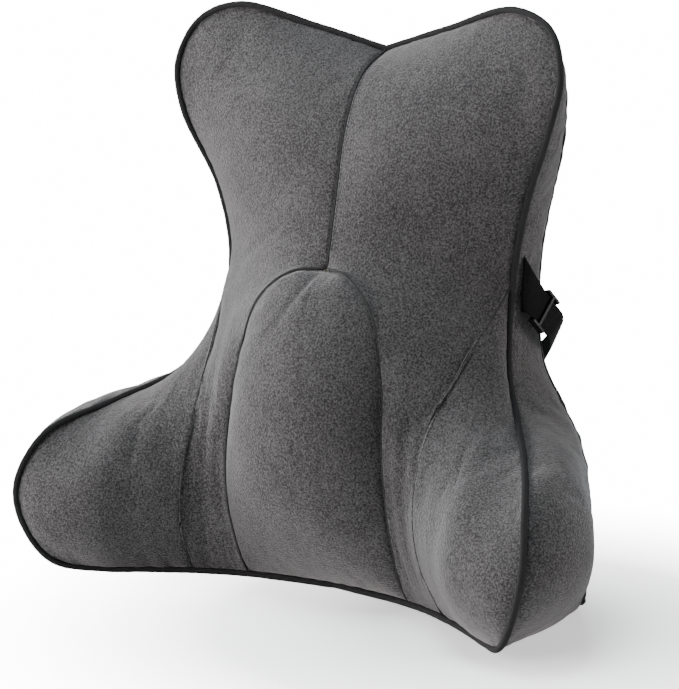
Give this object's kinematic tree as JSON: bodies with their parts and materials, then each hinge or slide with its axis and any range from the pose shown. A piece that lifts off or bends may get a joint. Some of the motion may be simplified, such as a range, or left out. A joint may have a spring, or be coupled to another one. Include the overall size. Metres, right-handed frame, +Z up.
{
  "type": "lumbar support cushion",
  "caption": "Butterfly-shaped lumbar support cushion with a raised middle pad, side wings that wrap forward, a zipped cover and a strap that buckles round a chair back.",
  "frame": {"origin": "on the floor, under the middle of the whole part's box", "axes": "+Z up, -Y towards the person who leans on it, +X to the right as seen from the front"},
  "size_m": [0.4816, 0.2308, 0.4279],
  "materials": {
    "velvet": "short-pile velvet, dark grey",
    "piping": "woven welt cover, near black",
    "foam": "soft slow-recovery foam in a thin knitted sleeve, cream",
    "zip_tape": "woven zip tape, dark grey",
    "zip_teeth": "moulded teeth, satin",
    "zip_metal": "black painted zinc, semi-gloss",
    "webbing": "ribbed polypropylene webbing, black",
    "buckle_plastic": "moulded acetal, fine satin"
  },
  "bodies": {
    "cushion": {"front_panel_left": "velvet", "front_panel_right": "velvet", "wing_panel_left": "velvet", "wing_panel_right": "velvet", "lumbar_panel": "velvet", "side_strip_left": "velvet", "side_strip_right": "velvet", "base_strip": "velvet", "back_panel_left": "velvet", "back_panel_right": "velvet", "piping": "piping", "foam_core": "foam", "zip_tape_left": "zip_tape", "zip_tape_right": "zip_tape", "zip_teeth_left": "zip_teeth", "zip_teeth_right": "zip_teeth", "zip_stop_bottom": "zip_metal", "zip_stop_top": "zip_metal", "strap_left": "webbing", "strap_right": "webbing", "buckle_socket": "buckle_plastic"},
    "slider": {"zip_slider": "zip_metal"},
    "pull": {"zip_pull": "zip_metal"},
    "plug": {"buckle_plug": "buckle_plastic"},
    "adjuster_left": {"adjuster_left": "buckle_plastic"},
    "adjuster_right": {"adjuster_right": "buckle_plastic"}
  },
  "joints": [
    {"name": "zip_slide", "type": "slide", "parent": "cushion", "child": "slider", "axis": [0, 0, -1], "range_m": [0, 0.276]},
    {"name": "pull_swing", "type": "hinge", "parent": "slider", "child": "pull", "pos_m": [0, 0.0856, 0.33425], "axis": [1, 0, 0], "range_deg": [0, 170]},
    {"name": "buckle_release", "type": "slide", "parent": "cushion", "child": "plug", "axis": [1, 0, 0], "range_m": [0, 0.026], "deforming": ["strap_right"]},
    {"name": "adjuster_left_slide", "type": "slide", "parent": "cushion", "child": "adjuster_left", "axis": [-0.2601, 0.6201, -0.7401], "range_m": [0, 0.006]},
    {"name": "adjuster_right_slide", "type": "slide", "parent": "cushion", "child": "adjuster_right", "axis": [0.2601, 0.6201, -0.7401], "range_m": [0, 0.006]}
  ]
}
